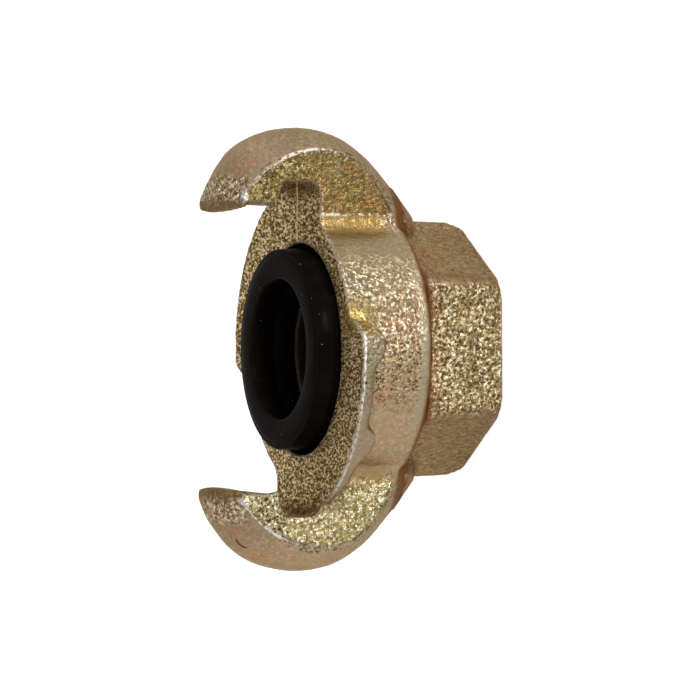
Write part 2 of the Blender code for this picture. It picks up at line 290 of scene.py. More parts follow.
class CastMaps:
    """What the casting's finish is painted by: places, the layers of its mesh and noises."""

    def __init__(self, sheet: NodeSheet, finish: "PassivatedCasting") -> None:
        """Add the nodes that all parts of the finish share.

        Args:
            sheet: Node sheet of the material.
            finish: Finish that gives the sizes of grain and blots.
        """
        self.sheet = sheet
        self.place, (self.across, self.along, self.upward) = sheet.coordinates()
        self.lean, self.reach = abs(self.across), abs(self.along)
        self.upper = self.along.step(-0.002, 0.002)
        (self.front, self.claw_side, self.crown, self.edge, self.ridge, self.hollow, self.dark, self.bright,
         self.land, self.rim, self.tip, self.gold_and_glint, self.valley_shade, self.hexagon, self.shelter,
         self.bore) = map(sheet.layer, Layer)
        squeezed = sheet.node("ShaderNodeVectorMath", {"operation": "MULTIPLY"}, {
            0: self.place, 1: finish.front_scale}).outputs[0]
        grit = sheet.node("ShaderNodeMix", {"data_type": "VECTOR"}, {
            0: self.front.step(0.3, 0.7), 4: self.place, 5: squeezed}).outputs[1]
        self.grain = sheet.speckle(grit, finish.grain_size, 1.0)
        self.fine = sheet.speckle(grit, finish.fine_size, 1.0)
        self.broad = sheet.speckle(self.place, finish.broad_size, 2.0, 0.55, 0.4)
        self.second = sheet.speckle(self.place, finish.second_size, 2.0, 0.5, 0.6)
        self.dapple = sheet.speckle(self.place, finish.dapple_size, 2.0, 0.6)
        facet = sheet.node("ShaderNodeTexVoronoi", {"feature": "F1"}, {
            "Vector": grit, "Scale": 1 / (finish.grain_size * 0.8)}).outputs["Color"]
        chances = sheet.node("ShaderNodeSeparateColor", None, {0: facet}).outputs
        self.chance, self.tint = Socket(sheet, chances["Red"]), Socket(sheet, chances["Green"])


@dataclass(frozen=True)
class PassivatedCasting:
    """Yellow-passivated zinc: tan with pink, green and golden bloom over the grain of a casting, with
    painted shade and painted highlights.
    """

    tan: Colour = screen(166, 143, 110)
    pink: Colour = screen(168, 140, 112)
    olive: Colour = screen(152, 138, 96)
    warm: Colour = screen(178, 134, 90)
    # Greenish tint that also serves as painted shade on the drum.
    moss_and_shade: Colour = screen(140, 130, 100)
    grey_green: Colour = screen(154, 150, 120)
    # Golden tint, also the colour of the painted highlights at the lugs' ends.
    gold_and_glint: Colour = screen(178, 146, 78)
    # Painted light and shade on the claws' crowns: darker on the upper claw, lighter at the noses and on the
    # lower claw.
    crown_top_shade: Colour = (0.80, 0.80, 0.84)
    crown_nose_light: Colour = (1.02, 1.02, 1.04)
    crown_bottom_light: Colour = (1.06, 1.04, 1.06)
    hexagon_flat: Colour = screen(144, 124, 84)
    hexagon_face: Colour = screen(146, 118, 82)
    top_side: Colour = screen(115, 97, 50)
    top_orange: Colour = screen(128, 90, 40)
    top_green: Colour = screen(112, 108, 80)
    bottom_side: Colour = screen(160, 146, 94)
    bottom_pale: Colour = screen(158, 147, 114)
    hexagon_red: Colour = screen(148, 108, 80)
    root_gold: Colour = screen(150, 119, 54)
    # Colour of the painted highlights at the lugs' ends.
    highlight_gold: Colour = screen(250, 228, 150)
    front: Colour = screen(146, 114, 62)
    # Painted shade in the claws' mouths, on the front face under the claws.
    mouth: Colour = screen(92, 60, 26)
    rim: Colour = screen(132, 124, 98)
    rim_purple: Colour = screen(148, 129, 106)
    land: Colour = screen(156, 150, 126)
    tip: Colour = screen(122, 96, 58)
    # Painted shade and dark reflection for the valleys and hollows.
    valley_shade: Colour = screen(116, 78, 44)
    # Dark colour of the grain pits and marks, also painted as shadow beside the claws' ridges.
    soot_and_shadow: Colour = screen(58, 42, 20)
    # Painted glints: pale and golden specks for the grain catching the lamp.
    glint_gold: Colour = screen(252, 228, 166)
    glint_pale: Colour = screen(255, 246, 226)
    parting: Colour = screen(232, 212, 156)
    silver: Colour = screen(246, 242, 234)
    # Painted shade: the bore's wall is painted near black, as light hardly reaches into it.
    bore: Colour = screen(20, 15, 11)
    grain_size: float = 0.00054
    fine_size: float = 0.00024
    broad_size: float = 0.0062
    second_size: float = 0.0039
    dapple_size: float = 0.0011
    grain_height: float = 0.00050
    front_scale: Place = (0.78, 1.40, 1.40)
    edge_tint: Colour = (0.62, 0.55, 0.46)
    skin_height: float = 0.00012
    parting_half: float = 0.00030
    parting_shift: float = 0.00030
    parting_height: float = 0.00012
    # Centres of the painted golden highlights at the lugs' slanted ends.
    highlight_spots: tuple[Place, Place] = ((0.0203, 0.0050, 0.0254), (-0.0203, -0.0050, 0.0254))
    pits: tuple[Place, ...] = (
        (0.01318, 0.01204, 0.00671), (0.02494, -0.00516, 0.02634), (0.00830, 0.02893, 0.03333),
        (0.00871, 0.02693, 0.03583))
    pit_radius: float = 0.00032
    scratch_middle: Place = (0.003225, -0.02963, 0.037975)
    scratch_centre: Place = (0.00434, -0.02920, 0.03790)
    scratch_radius: float = 0.00162

    def ground(self, at: CastMaps) -> bpy.types.NodeSocket:
        """Colour each face of the casting, with its painted light and shade, before grain, worn edges and
        painted highlights.

        Args:
            at: Maps of the casting.

        Returns:
            The colour.
        """
        sheet = at.sheet
        # Painted light and shade, multiplied into the crowns' colour.
        crown = sheet.blend(at.upward.step(0.0310, 0.0370), self.crown_top_shade, self.crown_nose_light)
        crown = sheet.blend(at.upper, self.crown_bottom_light, crown)
        # Greenish tint, partly painted shade, near the front face and over the drum's upper side.
        fore = at.upward.within(0.0222, 0.0280, 0.0014) * at.reach.step(0.0200, 0.0175)
        fore = fore.largest(at.along.within(0.0115, 0.0190, 0.0030) * at.upward.step(0.0135, 0.0150))
        hexagon = sheet.coats(self.hexagon_face, [
            (at.bright.step(0.25, 0.65), self.hexagon_flat),
            (at.second.step(0.45, 0.65) * 0.22, self.grey_green),
            (at.upward.step(0.0080, 0.0122) * (0.2 + 0.7 * at.broad), self.hexagon_red),
        ])
        upper_side = sheet.coats(self.top_side, [
            (at.second.step(0.46, 0.60) * 0.7, self.top_orange),
            (at.dapple.step(0.50, 0.66) * 0.7, self.top_green),
        ])
        lower_side = sheet.blend(at.dapple.step(0.45, 0.62), self.bottom_side, self.bottom_pale)
        rim = sheet.coats(self.rim, [
            (at.along.step(-0.003, -0.010), self.rim_purple),
            (at.dapple.step(0.52, 0.64) * 0.5, self.olive),
        ])
        colour = sheet.coats(self.tan, [
            (at.broad.step(0.42, 0.58), self.pink),
            (at.second.step(0.52, 0.68) * 0.5, self.olive),
            (at.broad.step(0.56, 0.68) * 0.5, self.warm),
            (at.dapple.step(0.52, 0.72) * 0.45, self.grey_green),
            (at.dapple.step(0.44, 0.30) * 0.35, self.gold_and_glint),
        ])
        return sheet.coats(sheet.blend(at.crown, colour, crown, "MULTIPLY"), [
            (fore * (0.25 + 0.8 * at.second), self.moss_and_shade),
            (at.hexagon * 0.9, hexagon),
            (at.claw_side * 0.92, sheet.blend(at.upper, lower_side, upper_side)),
            # golden roots of the claws, and the painted glint on the lugs' ends
            (at.gold_and_glint * (0.5 + 0.5 * at.dapple), self.root_gold),
            (at.front * 0.95, self.front),
            (at.land * 0.7, self.land),
            (at.rim * 0.9, rim),
            # painted shade in the claws' mouths
            (at.shelter * 0.9, self.mouth),
            (at.tip * 0.9, self.tip),
        ])

    def wear_and_highlight(self, at: CastMaps) -> tuple[Socket, Socket]:
        """Find where the plating is worn to a shine on the edges, and where highlights are painted on the
        claws' ridges, the noses' inner corners, the lugs' rims and the creases at the claws' roots.

        Args:
            at: Maps of the casting.

        Returns:
            How strongly the edges are worn and the highlights painted, and the dull stretches of the claws'
            ridges.
        """
        mean = at.sheet.mean
        # Edges worn to a shine.
        edges = at.edge * (0.3 + 0.7 * at.second.step(0.42, 0.62)) * at.grain.step(0.34, 0.56) * 0.7
        # Stretches of the ridges where the painted highlight shows.
        top_lit = at.upward.step(0.0226, 0.0262) * (1 - 0.6 * at.upward.step(0.0325, 0.0350))
        shown = mean(at.upper, at.upward.step(0.0300, 0.0370), top_lit)
        # Painted highlight along the lit stretch of the claws' ridges.
        ridge = at.lean.within(0.00838, 0.00876, 0.00010) * at.ridge * shown
        ridge = ridge * at.grain.step(0.34, 0.52) * (0.55 + 0.9 * at.dapple.step(0.38, 0.55))
        # Painted highlight at the inner corner of each nose.
        nose_glint = at.upward.step(0.0386, 0.0395) * at.lean.step(0.0078, 0.0084)
        nose_glint = nose_glint * at.reach.step(0.0224, 0.0231) * at.grain.step(0.24, 0.40)
        nose_glint = nose_glint * mean(at.upper, at.reach.step(0.0247, 0.0236), at.reach.step(0.0262, 0.0250))
        # Pale line along the front edge of each lug's rim: partly worn edge, partly painted highlight,
        # stronger on the upper side.
        rim_line = at.upward.within(0.02640, 0.02686, 0.00008) * at.rim
        rim_line = rim_line * (0.45 + 0.5 * at.along.step(-0.012, -0.006)) * at.grain.step(0.30, 0.50)
        # Painted highlight along the crease at the claws' roots.
        crease = at.along.within(0.02036, 0.02078, 0.00012) * (at.gold_and_glint + at.claw_side).smallest(1.0)
        crease = crease * at.grain.step(0.36, 0.52) * at.dapple.step(0.40, 0.62) * 0.85
        rubbed_and_lit = edges.largest(ridge).largest(nose_glint).largest(rim_line).largest(crease)
        # The ridges' dull stretches, where the painted highlight doesn't show.
        back = at.lean.within(0.00790, 0.00876, 0.00020) * at.ridge * (1 - shown)
        return rubbed_and_lit.smallest(1.0), back

    def parting_line(self, at: CastMaps) -> Socket:
        """Draw the fine line that the mould left on the front face below the upper claw.

        Args:
            at: Maps of the casting.

        Returns:
            The line's strength.
        """
        drift = (at.second - 0.5) * 0.0009 + (at.dapple - 0.5) * 0.0003
        off = abs(at.across + self.parting_shift + drift)
        line = off.step(self.parting_half * 1.5, self.parting_half * 0.5)
        line = line * at.front * at.along.step(0.0158, 0.0164) * (0.75 + at.dapple * 0.7)
        return line.smallest(1.0)

    def damage(self, at: CastMaps) -> Socket:
        """Mark the small pits and the curved scratch on the lower claw.

        Args:
            at: Maps of the casting.

        Returns:
            The marks' strength.
        """
        near = at.sheet.near
        marks = abs(near(at.place, self.scratch_centre) - self.scratch_radius).step(0.00032, 0.00014)
        marks = marks * near(at.place, self.scratch_middle).step(0.0012, 0.0009)
        for pit in self.pits:
            marks = marks.largest(near(at.place, pit).step(self.pit_radius, self.pit_radius * 0.5))
        return marks

    def make(self) -> bpy.types.Material:
        """Build the material.

        Returns:
            The material.
        """
        material, sheet = new_material("passivated_casting")
        at = CastMaps(sheet, self)
        wear_and_highlight, back = self.wear_and_highlight(at)
        parting = self.parting_line(at)
        marks = self.damage(at)
        shine = (at.chance - 0.5) * 0.5 + (at.grain - 0.5) * 1.7 + (at.fine - 0.5) * 0.8 + 0.5
        dark = shine.step(0.46, 0.10) * at.dark
        # Painted glints over the grain.
        bright = (shine + at.front * 0.08).step(0.55, 0.88) * at.bright
        golden = (at.front + at.upper * at.claw_side + at.gold_and_glint + at.hexagon * 0.45).smallest(1.0)
        glint_colour = sheet.blend((golden * 0.4 + at.tint * 0.7).smallest(1.0), self.glint_pale, self.glint_gold)
        # Painted shadow along the lower side of the claws' ridges and on their dull stretches.
        groove = at.lean.within(0.00880, 0.00893, 0.00004) * at.dapple.step(0.62, 0.48)
        groove = (groove + back * shine.step(0.46, 0.30)) * at.ridge * at.upward.step(0.0392, 0.0382)
        # Painted golden highlight round the lugs' slanted ends.
        highlight_near = sheet.near(at.place, self.highlight_spots[0]).smallest(sheet.near(at.place, self.highlight_spots[1]))
        colour = sheet.coats(self.ground(at), [
            (dark, self.soot_and_shadow),
            (bright, glint_colour),
            # Painted shade in the valleys and hollows.
            ((at.valley_shade * (0.7 + 0.6 * at.broad)).smallest(1.0), self.valley_shade),
            (at.hollow * 0.6, self.valley_shade),
            (back * 0.5, self.grey_green),
            ((groove * 0.7).smallest(1.0), self.soot_and_shadow),
            # worn edges and painted highlights
            (wear_and_highlight * 0.85, self.silver),
            (highlight_near.step(0.0045, 0.0012) * (0.3 + bright), self.gold_and_glint),
            (highlight_near.step(0.0019, 0.0006) * at.grain.step(0.36, 0.5), self.highlight_gold),
            (parting * 0.95, self.parting),
            (marks * 0.85, self.soot_and_shadow),
            # painted shade in the bore
            (at.bore, self.bore),
        ])
        rough = at.dark.largest(at.bright) * (1 - at.gold_and_glint * 0.4)
        height = (at.grain - 0.5) * (0.04 + rough) * self.grain_height
        height = height + (at.fine - 0.5) * (0.08 + rough) * (self.grain_height * 0.45)
        height = height + (at.chance - 0.5) * rough * (self.grain_height * 0.10)
        height = height + (at.dapple - 0.5) * self.skin_height + (parting - marks) * self.parting_height
        roughness = 0.40 - wear_and_highlight * 0.1 + dark * 0.12 - bright * 0.08 + (at.dapple - 0.5) * 0.12
        sheet.surface(height, {
            "Base Color": colour, "Metallic": PLATED - at.bore * 0.6, "Roughness": roughness + at.bore * 0.3,
            "Specular Tint": self.edge_tint})
        return material


@dataclass(frozen=True)
class TappedThread:
    """Cut thread with the same passivation: darker at its roots, with fine turning marks."""

    crest: Colour = screen(176, 156, 112)
    root: Colour = screen(104, 82, 48)
    bloom: Colour = screen(150, 128, 104)
    bloom_size: float = 0.0016
    mark_pitch: float = 0.00016

    def make(self) -> bpy.types.Material:
        """Build the material.

        Returns:
            The material.
        """
        material, sheet = new_material("tapped_thread")
        place, axes = sheet.coordinates()
        depth = sheet.value("ShaderNodeAttribute", {"attribute_name": DEPTH_LAYER}, output="Fac")
        bloom = sheet.speckle(place, self.bloom_size, 3.0)
        colour = sheet.coats(self.crest, [
            (depth.step(0.35, 1.0), self.root),
            (bloom.step(0.5, 0.75) * 0.4, self.bloom),
        ])
        turn = axes[2] * (math.tau / self.mark_pitch)
        marks = sheet.value("ShaderNodeMath", {"operation": "SINE"}, {0: turn})
        sheet.surface(marks * 0.000002 + bloom * 0.00003, {
            "Base Color": colour, "Metallic": PLATED, "Roughness": 0.3 + bloom * 0.15})
        return material


@dataclass(frozen=True)
class BlackRubber:
    """Moulded black rubber with a faint bloom and a few specks of pale dust."""

    black: Colour = screen(13, 10, 8)
    bloom: Colour = screen(25, 21, 17)
    dust: Colour = screen(172, 166, 154)
    haze_size: float = 0.0035
    matt_size: float = 0.00022
    dust_cell: float = 0.0012
    dust_size: float = 0.00011

    def make(self) -> bpy.types.Material:
        """Build the material.

        Returns:
            The material.
        """
        material, sheet = new_material("black_rubber")
        place = sheet.node("ShaderNodeTexCoord").outputs["Object"]
        haze = sheet.speckle(place, self.haze_size, 3.0, 0.6)
        matt = sheet.speckle(place, self.matt_size, 2.0, 0.6)
        cell = sheet.node("ShaderNodeTexVoronoi", {"feature": "F1"}, {
            "Vector": place, "Scale": 1 / self.dust_cell})
        chance = sheet.value("ShaderNodeSeparateColor", None, {0: cell.outputs["Color"]}, "Red")
        edge = self.dust_size / self.dust_cell
        dust = Socket(sheet, cell.outputs["Distance"]).step(edge, edge * 0.4) * chance.step(0.72, 0.80)
        colour = sheet.coats(self.black, [
            (haze.step(0.4, 0.75) * 0.6, self.bloom),
            (dust * 0.8, self.dust),
        ])
        sheet.surface(matt * 0.000004 + haze * 0.00003 + dust * 0.00003, {
            "Base Color": colour, "Roughness": 0.19 + haze * 0.10, "Specular IOR Level": 0.006})
        return material


def link_object(name: str, data: bpy.types.ID) -> bpy.types.Object:
    """Put a mesh, lamp or camera into the scene.

    Args:
        name: Name of the object.
        data: Its mesh, lamp or camera.

    Returns:
        The object.
    """
    made = bpy.data.objects.new(name, data)
    bpy.context.scene.collection.objects.link(made)
    return made


def baked_mesh(source: bpy.types.Object, name: str) -> bpy.types.Mesh:
    """Take an object's mesh with its modifiers applied.

    Args:
        source: Object with modifiers.
        name: Name of the new mesh.

    Returns:
        The new mesh.
    """
    graph = bpy.context.evaluated_depsgraph_get()
    mesh = bpy.data.meshes.new_from_object(source.evaluated_get(graph))
    mesh.name = name
    return mesh


def swung(profile: list[tuple[float, float]], angle: float) -> list[Place]:
    """Swing a profile of radius and height to an angle round the bore axis."""
    return [(radius * math.cos(angle), radius * math.sin(angle), height) for radius, height in profile]


def joined_rings(name: str, rings: list[list[Place]]) -> bpy.types.Mesh:
    """Join closed rings of points, each to the next and the last to the first.

    Args:
        name: Name of the mesh.
        rings: Rings with the same number of points each.

    Returns:
        The mesh.
    """
    shape = bmesh.new()
    lines = [[shape.verts.new(point) for point in ring] for ring in rings]
    for ring, following in zip(lines, lines[1:] + lines[:1]):
        for i in range(len(ring)):
            j = (i + 1) % len(ring)
            shape.faces.new((ring[i], ring[j], following[j], following[i]))
    bmesh.ops.recalc_face_normals(shape, faces=shape.faces)
    mesh = bpy.data.meshes.new(name)
    shape.to_mesh(mesh)
    shape.free()
    mesh.shade_smooth()
    return mesh


def turned_mesh(name: str, profile: list[tuple[float, float]], steps: int) -> bpy.types.Mesh:
    """Turn a closed profile of radius and height about the bore axis."""
    return joined_rings(name, [swung(profile, math.tau * turn / steps) for turn in range(steps)])


def eased(values: np.ndarray, start: float, end: float) -> np.ndarray:
    """Ease an array from 0 at start to 1 at end, which may be the smaller one."""
    share = np.clip((values - start) / (end - start), 0.0, 1.0)
    return share * share * (3 - 2 * share)


class Skin:
    """Points, normals and neighbours of a mesh, for shaping it in numpy."""

    def __init__(self, mesh: bpy.types.Mesh) -> None:
        """Read a mesh.

        Args:
            mesh: Mesh to read.
        """
        self.mesh = mesh
        self.count = len(mesh.vertices)
        self.points = np.empty(self.count * 3)
        mesh.vertices.foreach_get("co", self.points)
        self.points = self.points.reshape(-1, 3)
        pairs = np.empty(len(mesh.edges) * 2, dtype=np.int64)
        mesh.edges.foreach_get("vertices", pairs)
        self.first, self.second = pairs.reshape(-1, 2).T
        self.ties = np.bincount(self.first, minlength=self.count)
        self.ties += np.bincount(self.second, minlength=self.count)

    def mean(self, values: np.ndarray) -> np.ndarray:
        """Mean of each point's neighbours.

        Args:
            values: One number or one vector for each point.

        Returns:
            The means.
        """
        if values.ndim == 2:
            return np.stack([self.mean(values[:, i]) for i in range(values.shape[1])], axis=1)
        total = np.bincount(self.first, values[self.second], self.count)
        total += np.bincount(self.second, values[self.first], self.count)
        return total / self.ties

    def spread(self, values: np.ndarray, rounds: int) -> np.ndarray:
        """Blur a layer over the surface.

        Args:
            values: One number for each point.
            rounds: How often it is blurred.

        Returns:
            The blurred layer.
        """
        for _ in range(rounds):
            values = 0.5 * (values + self.mean(values))
        return values

    def relax(self, rounds: int, share: float = 0.5, back: float = 0.53) -> None:
        """Round the edges without shrinking the body.

        Args:
            rounds: How often.
            share: How far a point moves to the mean of its neighbours.
            back: How far it then moves away again.
        """
        for _ in range(rounds):
            self.points += share * (self.mean(self.points) - self.points)
            self.points -= back * (self.mean(self.points) - self.points)

    def normals(self) -> np.ndarray:
        """Write the points back and return their normals."""
        self.store()
        found = np.empty(self.count * 3)
        self.mesh.vertex_normals.foreach_get("vector", found)
        return found.reshape(-1, 3)

    def bend(self, normals: np.ndarray, cell: float) -> np.ndarray:
        """How sharply the surface bends, in 1 by metre and above 0 where it stands out, from its normals."""
        return -2 * np.einsum("ij,ij->i", self.mean(self.points) - self.points, normals) / cell ** 2

    def store(self) -> None:
        """Write the points into the mesh."""
        self.mesh.vertices.foreach_set("co", self.points.ravel())
        self.mesh.update()

    def keep(self, name: str, values: np.ndarray) -> None:
        """Write a layer into the mesh."""
        layer = self.mesh.attributes.new(name, "FLOAT", "POINT")
        layer.data.foreach_set("value", np.clip(values, 0.0, 1.0).astype(np.float32))


class Survey:
    """Where the points of the casting lie, which way they face and how the skin bends there."""

    def __init__(self, skin: Skin, casting: "Casting") -> None:
        """Measure a skin.

        Args:
            skin: Skin of the casting.
            casting: Sizes of the casting.
        """
        self.points = skin.points
        self.normals = skin.normals()
        x, self.y, self.z = skin.points.T
        self.side, self.reach = np.abs(x), np.abs(self.y)
        self.radius = np.hypot(x, self.y)
        self.lean, self.up = np.abs(self.normals[:, 0]), self.normals[:, 2]
        self.behind = casting.behind(skin.points, self.normals)
        self.in_claw = eased(self.side, casting.claw_half + 0.0007, casting.claw_half + 0.0003)
        self.in_claw *= eased(self.reach, 0.0165, 0.0175)
        self.bend = skin.spread(skin.bend(self.normals, casting.cell), 1)
        self.wide_bend = skin.spread(self.bend, 6)


@dataclass
class Casting:
    """The casting: a finer skin over its solid, with soft edges and uneven faces."""

    node: str = "coupling_body"
    front_height: float = 0.0269
    hex_height: float = 0.0130
    drum_radius: float = 0.0205
    lug_radius: float = 0.0255
    recess_radius: float = 0.0162
    claw_half: float = 0.0089
    thread_clear_radius: float = 0.01345
    thread_depth: float = 0.0145
    drill_core: float = 0.0005
    drill_start: float = -0.001
    drill_steps: int = 96
    land_height: float = 0.0144
    cell: float = 0.00039
    soften: int = 1
    uneven: float = 0.00007
    broad_waves: float = 240.0      # uneven places to a metre
    small_waves: float = 900.0
    arris: float = 0.00020
    front_arris: float = 0.00028
    corner_arris: float = 0.00032
    end_arris: float = 0.00022
    end_zone: float = 0.0016
    end_radius: float = 0.0182
    hex_half: float = 0.0173
    bore_radius: float = 0.0108
    mouth_middle: tuple[float, float] = (0.0240, 0.0285)
    hook_corner: tuple[float, float] = (0.03395, 0.0357)
    hook_bend: float = 590.0
    hook_wall: float = 0.0219
    nose_height: float = 0.0420
    nose_crown: float = 0.0021
    lip_depths: tuple[float, float] = (0.0008, 0.0004)
    upper_nose_cut: float = 0.00045
    dent: Place = (0.0080, 0.0215, 0.0404)
    dent_push: Place = (-0.00026, 0.00034, -0.00016)
    dent_radius: float = 0.0015
    finish: PassivatedCasting = field(default_factory=PassivatedCasting)

    def make(self, solid: bpy.types.Object) -> bpy.types.Object:
        """Build and dress the casting.

        Args:
            solid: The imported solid.

        Returns:
            The finished piece.
        """
        skin = Skin(self.fine_mesh(solid))
        skin.relax(self.soften)
        self.square_hooks(skin)
        self.sharpen(skin)
        self.roughen(skin)
        self.mark(skin)
        skin.mesh.shade_smooth()
        piece = link_object("cast_body", skin.mesh)
        skin.mesh.materials.clear()
        skin.mesh.materials.append(self.finish.make())
        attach(piece, ROOT_BODY)
        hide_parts(self.node)
        return piece

    def fine_mesh(self, solid: bpy.types.Object) -> bpy.types.Mesh:
        """Copy the solid, clear the room for the thread and give it an even net of points.

        Args:
            solid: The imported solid.

        Returns:
            The new mesh.
        """
        shape = bmesh.new()
        shape.from_mesh(solid.data)
        bmesh.ops.remove_doubles(shape, verts=shape.verts, dist=1e-6)
        copy = bpy.data.meshes.new("cast_blank")
        shape.to_mesh(copy)
        shape.free()
        blank = link_object("cast_blank", copy)
        core, clear = self.drill_core, self.thread_clear_radius
        top, below = self.thread_depth, self.drill_start
        profile = [(core, top), (clear, top), (clear, below), (core, below)]
        drill = link_object("thread_drill", turned_mesh("thread_drill", profile, self.drill_steps))
        drilled = blank.modifiers.new("drill", "BOOLEAN")
        drilled.operation = "DIFFERENCE"
        drilled.solver = "EXACT"
        drilled.object = drill
        net = blank.modifiers.new("net", "REMESH")
        net.mode = "VOXEL"
        net.voxel_size = self.cell
        mesh = baked_mesh(blank, "cast_body")
        bpy.data.objects.remove(blank)
        bpy.data.objects.remove(drill)
        return mesh

    def behind(self, points: np.ndarray, normals: np.ndarray) -> np.ndarray:
        """Tell a claw's back from its mouth.

        Args:
            points: Points of the skin.
            normals: Their normals.

        Returns:
            1 where a point of a claw faces away from the claw's mouth.
        """
        middle, height = self.mouth_middle
        away = normals[:, 1] * (points[:, 1] - np.sign(points[:, 1]) * middle)
        away += normals[:, 2] * (points[:, 2] - height)
        return eased(away, 0.0002, 0.0012) * eased(np.abs(points[:, 1]), 0.0203, 0.0215)

    def nose_face(self, points: np.ndarray) -> np.ndarray:
        """Distance of points along the bore from a nose's crowned end, below 0 behind it."""
        return points[:, 2] - (self.nose_height - self.nose_crown * (points[:, 0] / self.claw_half) ** 2)

    def square_hooks(self, skin: Skin) -> None:
        """Fill the inner corners of the hooks and leave a low lip along the end of each nose.

        Args:
            skin: Skin of the casting.
        """
        x, y, z = skin.points.T
        reach = np.abs(y)
        hook = (z > 0.0330) & (reach > 0.0195)
        rise = self.hook_bend * (self.hook_corner[1] - np.clip(z, *self.hook_corner)) ** 2
        fill = -rise * np.clip(1 - (reach - self.hook_wall - rise) / 0.0025, 0.0, 1.0)
        lip = eased(self.nose_face(skin.points), -0.0016, -0.0011) * eased(np.abs(x), 0.0086, 0.0080)
        deep = np.where(y > 0, self.lip_depths[0], self.lip_depths[1]) * (1 - lip) * eased(z, 0.0352, 0.0366)
        cut = deep * np.clip(1 - (reach - 0.0211) / 0.0020, 0.0, 1.0)
        skin.points[:, 1] += np.sign(y) * (fill + cut) * hook
        skin.points[:, 2] -= self.upper_nose_cut * hook * (y > 0) * eased(z, 0.0375, 0.0412)

    def sharpen(self, skin: Skin) -> None:
        """Draw out again the arrises that the soft skin has lost.

        Args:
            skin: Skin of the casting.
        """
        normals = skin.normals()
        self.sharpen_claws(skin, normals)
        self.sharpen_front(skin, normals)
        self.sharpen_hexagon(skin, normals)

    def sharpen_claws(self, skin: Skin, normals: np.ndarray) -> None:
        """Draw out the claws' ridges and the edges of their noses, and press the dent in.

        Args:
            skin: Skin of the casting.
            normals: Normals of its points.
        """
        behind = self.behind(skin.points, normals)
        lean, up = np.abs(normals[:, 0]), normals[:, 2]
        ridge = eased(lean, 0.50, 0.78) * eased(lean, 0.995, 0.93) * behind
        skin.points += normals * (self.arris * ridge)[:, None]
        claws = behind > 0.5
        skin.points[claws, 0] = np.clip(skin.points[claws, 0], -self.claw_half, self.claw_half)
        nose = eased(up, 0.66, 0.82) * eased(up, 0.995, 0.95) * behind
        nose *= eased(skin.points[:, 2], 0.0395, 0.0405)
        skin.points += normals * (self.arris * nose)[:, None]
        dented = eased(np.linalg.norm(skin.points - np.array(self.dent), axis=1), self.dent_radius, 0.0)
        skin.points += dented[:, None] * np.array(self.dent_push)

    def sharpen_front(self, skin: Skin, normals: np.ndarray) -> None:
        """Draw out the edge of the front face, inside the lugs' outer circle.

        Args:
            skin: Skin of the casting.
            normals: Normals of its points.
        """
        x, y, z = skin.points.T
        up = normals[:, 2]
        rim = eased(up, 0.25, 0.60) * eased(up, 0.985, 0.93) * (np.hypot(x, y) > 0.0175)
        rim *= eased(np.abs(z - self.front_height), 0.0011, 0.0008)
        skin.points += normals * (self.front_arris * rim)[:, None]
        drawn = rim > 0
        skin.points[drawn, 2] = np.minimum(z[drawn], self.front_height)
        over = np.maximum(np.hypot(x, y) / self.lug_radius, 1.0)
        skin.points[drawn, :2] /= over[drawn, None]

    def sharpen_hexagon(self, skin: Skin, normals: np.ndarray) -> None:
        """Draw out the hexagon's corners and end, keep its flats flat and cone off the end's corners.

        Args:
            skin: Skin of the casting.
            normals: Normals of its points.
        """
        x, y, z = skin.points.T
        radius = np.hypot(x, y)
        corner = eased(radius, 0.0184, 0.0190) * (z < self.hex_height - 0.0008) * eased(z, 0.0012, 0.0024)
        skin.points[:, :2] *= (1 + self.corner_arris * corner / radius)[:, None]
        down = -normals[:, 2]
        end = eased(down, 0.15, 0.45) * eased(down, 0.99, 0.90) * (radius > 0.0150) * (z < self.end_zone)
        skin.points += normals * (self.end_arris * end)[:, None]
        for turn in range(3):
            angle = math.radians(60 * turn)
            facing = np.array((math.cos(angle), math.sin(angle), 0.0))
            off = skin.points @ facing
            change = (np.clip(off, -self.hex_half, self.hex_half) - off) * (z < self.end_zone)
            skin.points += change[:, None] * facing
        radius = np.hypot(x, y)
        limit = self.end_radius + z
        share = np.where((z < 0.0025) & (radius > limit), limit / radius, 1.0)
        skin.points[:, :2] *= share[:, None]

    def roughen(self, skin: Skin) -> None:
        """Press the uneven faces of a casting into the skin, inside the solid's box.

        Args:
            skin: Skin of the casting.
        """
        normals = skin.normals()
        shift = Vector((7, 3, 5))
        broad = np.array([noise.noise(Vector(point) * self.broad_waves) for point in skin.points])
        small = np.array([noise.noise(Vector(point) * self.small_waves + shift) for point in skin.points])
        skin.points += normals * (self.uneven * (broad - 0.3) + 0.5 * self.uneven * small)[:, None]
        low, high = (np.array(corner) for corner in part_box(self.node))
        skin.points = np.clip(skin.points, low, high)

